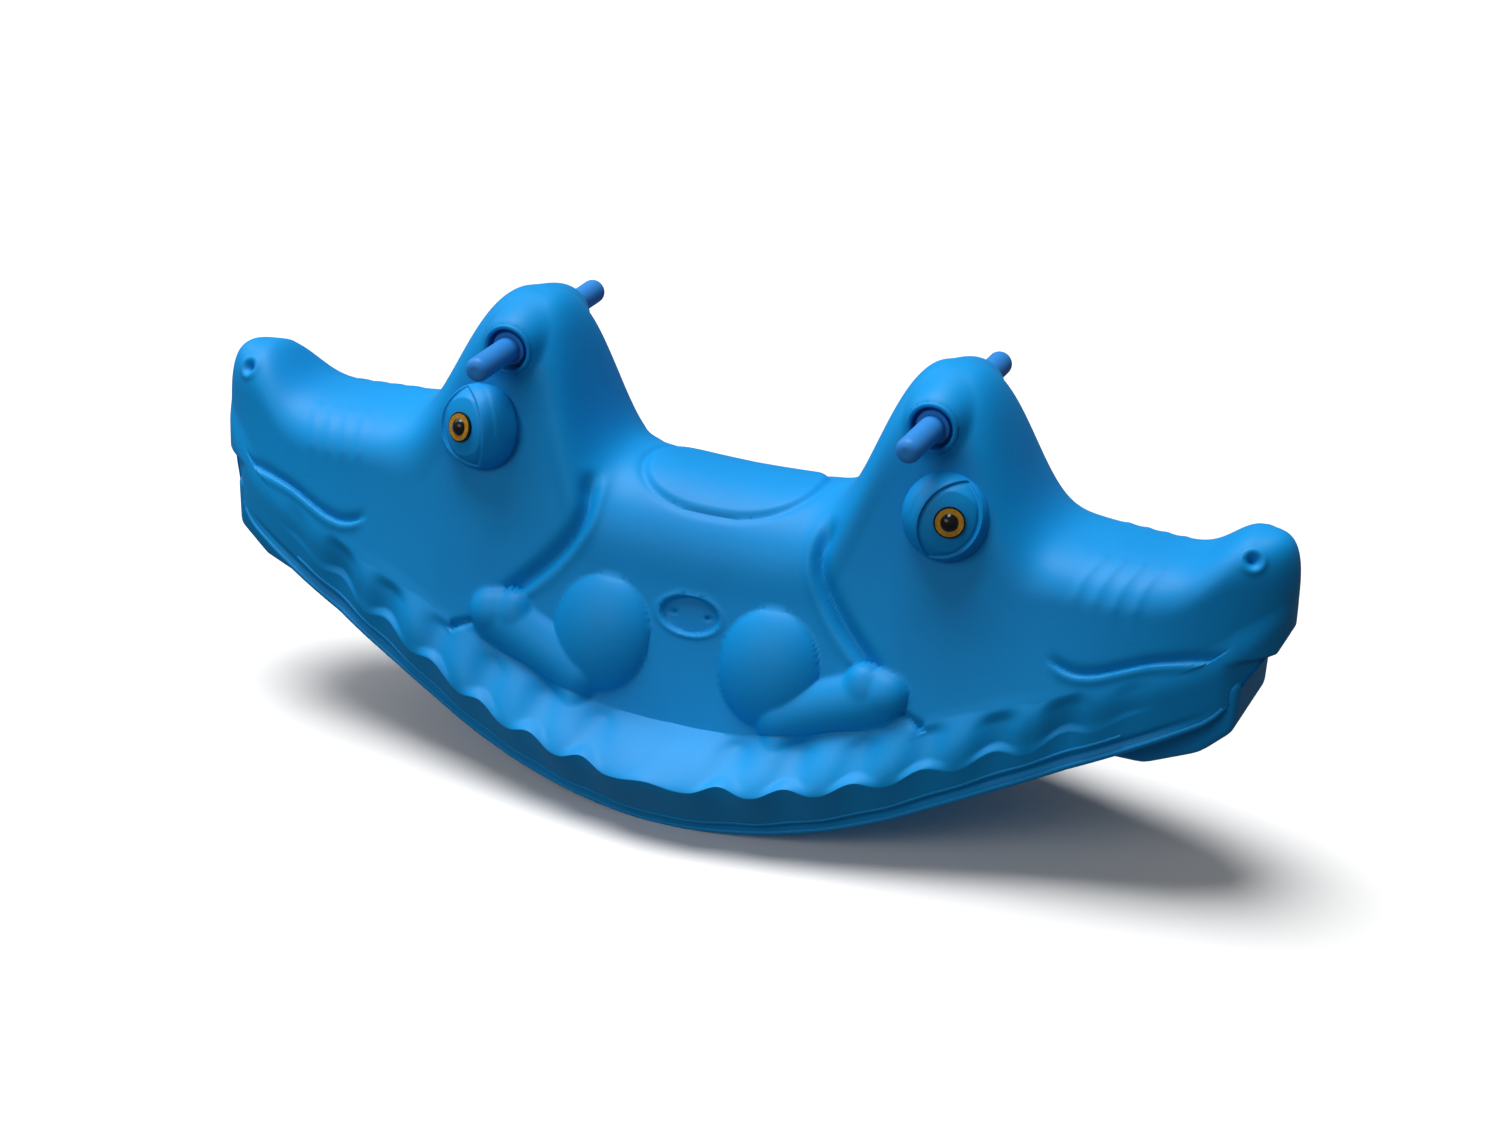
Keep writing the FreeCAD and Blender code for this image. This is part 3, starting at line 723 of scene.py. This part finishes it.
def cupOutline():
    # the well's floor and wall, its rounded lip and its hidden back
    lipRound, floorRound = cup["lipRound"], cup["floorRound"]
    lipCentre = (handle["recess"] + lipRound, cup["lipTop"] - lipRound)
    floorCentre = (handle["recess"] - floorRound, handle["floor"] + floorRound)
    outline = [(cup["hole"], handle["under"]), (cup["hole"], handle["floor"])]
    outline += arcPoints(floorCentre, floorRound, -90, 0, cup["floorSteps"])
    outline += arcPoints(lipCentre, lipRound, 180, 0, cup["lipSteps"])
    outline.append((handle["recess"] + 2 * lipRound, cup["backTop"]))
    outline.append((handle["recess"] + cup["backWall"], handle["under"]))
    return outline


for headName, head in (("left", -1), ("right", 1)):
    for sideName, side in (("front", -1), ("rear", 1)):
        place = (head * body["headPlace"], 0.0, handle["height"])
        mesh = lathed(cupOutline(), place, (0, side, 0), cup["segments"])
        name = headName + "_" + sideName
        linkPiece("recess_cup_" + name, mesh, bluePlastic, sharpFrom["body"])
print("recess cups ready")


lid = {
    "rings": 84, "segments": 160, "span": 87.0, "length": 39.0, "width": 27.0, "lean": 24.0, "step": 2.6,
    "ballRadius": 90.0, "ballTop": 0.5, "seat": 13.4, "seatDrop": 2.2, "seatFade": 1.5,
    "rim": 0.9, "rimPlace": 2.0, "rimWidth": 2.6, "fold": 1.0, "foldPlace": 7.5, "foldWidth": 1.6,
    "foldLow": 6.0, "foldFade": 12.0, "edge": 1.0, "edgeFade": 2.0,
    "crease": 1.2, "creasePlace": 2.2, "creaseWidth": 1.4,
}


def lidMesh(head, side):
    # a closed ball with two lids round an almond opening, turned to face outwards and forwards
    centre, along, up, out = eyeFrame()
    angle = np.linspace(0.0, math.radians(lid["span"]), lid["rings"] + 1)[1:, None]
    turn = np.linspace(0.0, 2.0 * math.pi, lid["segments"], endpoint=False)[None, :]
    r = eye["pod"] * np.sin(angle) * np.ones_like(turn)
    u, v = r * np.cos(turn), r * np.sin(turn)
    pod = -eye["depth"] + eye["pod"] * np.cos(angle) * np.ones_like(turn)
    lean = math.radians(lid["lean"])
    length = u * math.sin(lean) + v * math.cos(lean)
    cross = u * math.cos(lean) - v * math.sin(lean)
    long, wide = lid["length"], lid["width"]
    radius = (long ** 2 + wide ** 2) / (2 * wide)
    offset = radius - wide
    edge = np.maximum(np.hypot(length, cross - offset), np.hypot(length, cross + offset)) - radius
    ball = lid["ballTop"] - r ** 2 / (2 * lid["ballRadius"])
    ball = ball - lid["seatDrop"] * smooth((lid["seat"] - r) / lid["seatFade"])
    inside = np.minimum(pod - lid["step"], ball)
    fold = lid["fold"] * bell(edge - lid["foldPlace"], lid["foldWidth"])
    fold = fold * smooth((v + lid["foldLow"]) / lid["foldFade"])
    skin = pod + lid["rim"] * bell(edge - lid["rimPlace"], lid["rimWidth"]) - fold
    w = inside + (skin - inside) * smooth((edge + lid["edge"]) / lid["edgeFade"])
    w = w - lid["crease"] * bell(edge + lid["creasePlace"], lid["creaseWidth"])
    grid = centre + u[..., None] * along + v[..., None] * up + w[..., None] * out
    verts = grid.reshape(-1, 3)
    top = centre + (lid["ballTop"] - lid["seatDrop"]) * out
    base = centre - eye["depth"] * out
    verts = np.concatenate([verts, [top, base]]) * np.array([head, -side, 1.0]) * mm
    count, rings = lid["segments"], lid["rings"]
    i = np.arange(rings - 1)[:, None] * count
    j = np.arange(count)[None, :]
    k = (j + 1) % count
    faces = np.stack([i + j, i + k, i + count + k, i + count + j], 2).reshape(-1, 4).tolist()
    for c in range(count):
        d = (c + 1) % count
        faces.append([rings * count, d, c])
        faces.append([rings * count + 1, (rings - 1) * count + c, (rings - 1) * count + d])
    mesh = bpy.data.meshes.new("eyeLids")
    mesh.from_pydata(verts.tolist(), [], faces)
    return mesh


for headName, head in (("left", -1), ("right", 1)):
    for sideName, side in (("front", -1), ("rear", 1)):
        name = headName + "_" + sideName
        mesh = lidMesh(head, side)
        linkPiece("eye_lids_" + name, mesh, bluePlastic, sharpFrom["detail"])
print("eye lids ready")

rib = {"radius": 0.002, "steps": 240, "sides": 12, "taper": 14.0, "weld": 0.00002}


def ribTree():
    # turns every line of the input into a rounded rib that thins out at its ends
    tree = bpy.data.node_groups.new("softRib", "GeometryNodeTree")
    face = tree.interface
    face.new_socket("Geometry", in_out="INPUT", socket_type="NodeSocketGeometry")
    sockets = (
        ("Rib Radius", "Float", rib["radius"]), ("Steps", "Int", rib["steps"]),
        ("Sides", "Int", rib["sides"]), ("End Taper", "Float", rib["taper"]),
    )
    for label, kind, value in sockets:
        socket = face.new_socket(label, in_out="INPUT", socket_type="NodeSocket" + kind)
        socket.default_value = value
    face.new_socket("Finish", in_out="INPUT", socket_type="NodeSocketMaterial")
    face.new_socket("Geometry", in_out="OUTPUT", socket_type="NodeSocketGeometry")
    add = tree.nodes.new
    link = tree.links.new
    given, result = add("NodeGroupInput"), add("NodeGroupOutput")
    toCurve, resample = add("GeometryNodeMeshToCurve"), add("GeometryNodeResampleCurve")
    link(given.outputs["Geometry"], toCurve.inputs["Mesh"])
    link(toCurve.outputs["Curve"], resample.inputs["Curve"])
    link(given.outputs["Steps"], resample.inputs["Count"])
    share = add("GeometryNodeSplineParameter")
    other, nearer, grown, capped, root = (add("ShaderNodeMath") for _ in range(5))
    other.operation, nearer.operation, grown.operation = "SUBTRACT", "MINIMUM", "MULTIPLY"
    capped.operation, root.operation = "MINIMUM", "SQRT"
    other.inputs[0].default_value = 1.0
    capped.inputs[1].default_value = 1.0
    link(share.outputs["Factor"], other.inputs[1])
    link(share.outputs["Factor"], nearer.inputs[0])
    link(other.outputs[0], nearer.inputs[1])
    link(nearer.outputs[0], grown.inputs[0])
    link(given.outputs["End Taper"], grown.inputs[1])
    link(grown.outputs[0], capped.inputs[0])
    link(capped.outputs[0], root.inputs[0])
    thin, circle = add("GeometryNodeSetCurveRadius"), add("GeometryNodeCurvePrimitiveCircle")
    sweep = add("GeometryNodeCurveToMesh")
    link(resample.outputs["Curve"], thin.inputs["Curve"])
    link(root.outputs[0], thin.inputs["Radius"])
    link(given.outputs["Sides"], circle.inputs["Resolution"])
    link(given.outputs["Rib Radius"], circle.inputs["Radius"])
    link(thin.outputs["Curve"], sweep.inputs["Curve"])
    link(circle.outputs["Curve"], sweep.inputs["Profile Curve"])
    sweep.inputs["Fill Caps"].default_value = True
    merge, real = add("GeometryNodeMergeByDistance"), add("GeometryNodeRealizeInstances")
    finish = add("GeometryNodeSetMaterial")
    merge.inputs["Distance"].default_value = rib["weld"]
    link(sweep.outputs["Mesh"], merge.inputs["Geometry"])
    link(merge.outputs["Geometry"], real.inputs["Geometry"])
    link(real.outputs["Geometry"], finish.inputs["Geometry"])
    link(given.outputs["Finish"], finish.inputs["Material"])
    link(finish.outputs["Geometry"], result.inputs["Geometry"])
    return tree


softRib = ribTree()


def ribMesh(line, radius):
    # runs the tree on a line and gives back one plain mesh
    verts = [tuple(c * mm for c in point) for point in line]
    edges = [(k, k + 1) for k in range(len(line) - 1)]
    source = bpy.data.meshes.new("ribLines")
    source.from_pydata(verts, edges, [])
    holder = bpy.data.objects.new("ribLines", source)
    bpy.context.scene.collection.objects.link(holder)
    modifier = holder.modifiers.new("softRib", "NODES")
    modifier.node_group = softRib
    values = {"Rib Radius": radius * mm, "Steps": rib["steps"], "Finish": bluePlastic}
    for item in softRib.interface.items_tree:
        if item.in_out == "INPUT" and item.name in values:
            modifier[item.identifier] = values[item.name]
    evaluated = holder.evaluated_get(bpy.context.evaluated_depsgraph_get())
    mesh = bpy.data.meshes.new_from_object(evaluated)
    bpy.data.objects.remove(holder)
    return mesh


def onBand(distance, sink, end):
    # a line along the front side's band, this far up from its bottom edge
    line = []
    for i in range(6, points.shape[0] - 6, 3):
        edge = points[i, rows["floor"]]
        strip = points[i, rows["floor"]: rows["floor"] + rows["band"]]
        far = np.linalg.norm(strip - edge, axis=1)
        if far[-1] > distance and abs(edge[0]) < end:
            spot = np.array([np.interp(distance, far, strip[:, k]) for k in range(3)])
            line.append((spot[0], spot[1] + sink, spot[2] + 0.3 * sink))
    return line


# Each edge bead: how far up the band, how deep it sits in, where it ends and its radius
edgeBeads = {"lower": (3.2, 1.2, 508.0, 2.7), "upper": (19.0, 0.9, 430.0, 2.0)}
for sideName, side in (("front", 1.0), ("rear", -1.0)):
    for beadName, (distance, sink, end, radius) in edgeBeads.items():
        mesh = ribMesh([(px, side * py, pz) for px, py, pz in onBand(distance, sink, end)], radius)
        name = "rim_bead_" + beadName + "_" + sideName
        linkPiece(name, mesh, bluePlastic, sharpFrom["detail"])
print("beads ready")

stop = {
    "half": 58.5, "round": 9.0, "segments": 7,
    "outline": ((374.0, 156.0), (374.0, 124.0), (392.0, 118.5), (436.0, 118.5), (487.0, 141.0),
                (517.0, 170.0), (519.0, 222.0)),
}


def stopMesh(head):
    # a rounded lump from a lofted outline, pushed up into the jaw
    outline = stop["outline"]
    work = bmesh.new()
    loops = []
    for y in (-stop["half"], stop["half"]):
        loops.append([work.verts.new((head * px * mm, y * mm, pz * mm)) for px, pz in outline])
    work.faces.new(loops[0])
    work.faces.new(list(reversed(loops[1])))
    for k in range(len(outline)):
        n = (k + 1) % len(outline)
        work.faces.new([loops[0][k], loops[1][k], loops[1][n], loops[0][n]])
    bmesh.ops.recalc_face_normals(work, faces=work.faces[:])
    bmesh.ops.bevel(
        work, geom=work.edges[:], offset=stop["round"] * mm, segments=stop["segments"], profile=0.5,
        affect="EDGES", clamp_overlap=True)
    mesh = bpy.data.meshes.new("endStop")
    work.to_mesh(mesh)
    work.free()
    return mesh


for headName, head in (("left", -1), ("right", 1)):
    linkPiece("end_stop_" + headName, stopMesh(head), bluePlastic, sharpFrom["detail"])
print("end stops ready")

finishes = {
    "handle_grip": gripPlastic, "handle_cap": gripPlastic, "handle_bush": bushPlastic,
    "handle_tube": steel, "eye_lock": steel, "eye_back": blackGloss, "eye_pupil": blackGloss,
    "eye_iris": amberGloss, "vent_plug": bushPlastic,
}
for nodeName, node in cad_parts.items():
    for start, material in finishes.items():
        if nodeName.startswith(start):
            node.data.materials.clear()
            node.data.materials.append(material)
            node.data.shade_smooth()
            node.data.set_sharp_from_angle(angle=math.radians(sharpFrom["carried"]))
print("carried pieces finished")


def paleFloor():
    material, tree, shader, where = newMaterial("paleFloor")
    tone = addNoise(tree, where, 3.0, 2.0)
    pale = addRamp(tree, tone, [(0.3, (0.8471, 0.8471, 0.8471, 1.0)), (0.7, (0.86, 0.86, 0.86, 1.0))])
    tree.links.new(pale, shader.inputs["Base Color"])
    shader.inputs["Roughness"].default_value = 0.7
    return material


floorMesh = bpy.data.meshes.new("floor")
floorMesh.from_pydata([(-30, -30, 0), (30, -30, 0), (30, 30, 0), (-30, 30, 0)], [], [(0, 1, 2, 3)])
floor = bpy.data.objects.new("floor", floorMesh)
floorMesh.materials.append(paleFloor())
bpy.context.scene.collection.objects.link(floor)
floor.visible_diffuse = False
floor.visible_glossy = False

view = {
    "azimuth": 21.741, "elevation": 23.695, "roll": 2.425, "lens": 80.14, "sensor": 36.0,
    "distance": 3.2212, "target": (0.0168, 0.0, 0.2135),
}


def addCamera():
    azimuth, elevation, roll = (math.radians(view[k]) for k in ("azimuth", "elevation", "roll"))
    level = math.cos(elevation)
    back = Vector((math.sin(azimuth) * level, -math.cos(azimuth) * level, math.sin(elevation)))
    right = (-back).cross(Vector((0, 0, 1))).normalized()
    up = right.cross(-back)
    turnedRight = right * math.cos(roll) + up * math.sin(roll)
    turnedUp = up * math.cos(roll) - right * math.sin(roll)
    data = bpy.data.cameras.new("camera")
    data.lens = view["lens"]
    data.sensor_width = view["sensor"]
    camera = bpy.data.objects.new("camera", data)
    matrix = Matrix((turnedRight, turnedUp, back)).transposed().to_4x4()
    matrix.translation = Vector(view["target"]) + back * view["distance"]
    camera.matrix_world = matrix
    bpy.context.scene.collection.objects.link(camera)
    bpy.context.scene.camera = camera


softboxes = {
    "frontSoftbox": {
        "place": (-1.2, -3.6, 2.4), "target": (0.0, 0.0, 0.25), "size": (2.8, 1.8), "power": 48.0,
    },
    "leftSoftbox": {
        "place": (-3.0, 0.6, 2.4), "target": (0.0, 0.0, 0.3), "size": (2.0, 2.0), "power": 22.0,
    },
}
overhead = {"strength": 3.7, "spread": 40.0, "tilt": (-4.0, -14.0), "worldStrength": 0.12}


def addSoftbox(name, box):
    data = bpy.data.lights.new(name, "AREA")
    data.shape = "RECTANGLE"
    data.size, data.size_y = box["size"]
    data.energy = box["power"]
    light = bpy.data.objects.new(name, data)
    place = Vector(box["place"])
    light.location = place
    light.rotation_mode = "QUATERNION"
    light.rotation_quaternion = (Vector(box["target"]) - place).to_track_quat("-Z", "Y")
    bpy.context.scene.collection.objects.link(light)


def addOverhead():
    data = bpy.data.lights.new("overheadLight", "SUN")
    data.energy = overhead["strength"]
    data.angle = math.radians(overhead["spread"])
    light = bpy.data.objects.new("overheadLight", data)
    light.rotation_euler = (math.radians(overhead["tilt"][0]), math.radians(overhead["tilt"][1]), 0.0)
    bpy.context.scene.collection.objects.link(light)


addCamera()
for name, box in softboxes.items():
    addSoftbox(name, box)
addOverhead()
world = bpy.data.worlds.new("world")
world.use_nodes = True
world.node_tree.nodes["Background"].inputs["Color"].default_value = (1.0, 1.0, 1.0, 1.0)
world.node_tree.nodes["Background"].inputs["Strength"].default_value = overhead["worldStrength"]
bpy.context.scene.world = world
bpy.context.scene.view_settings.view_transform = "Standard"
print("stage ready")
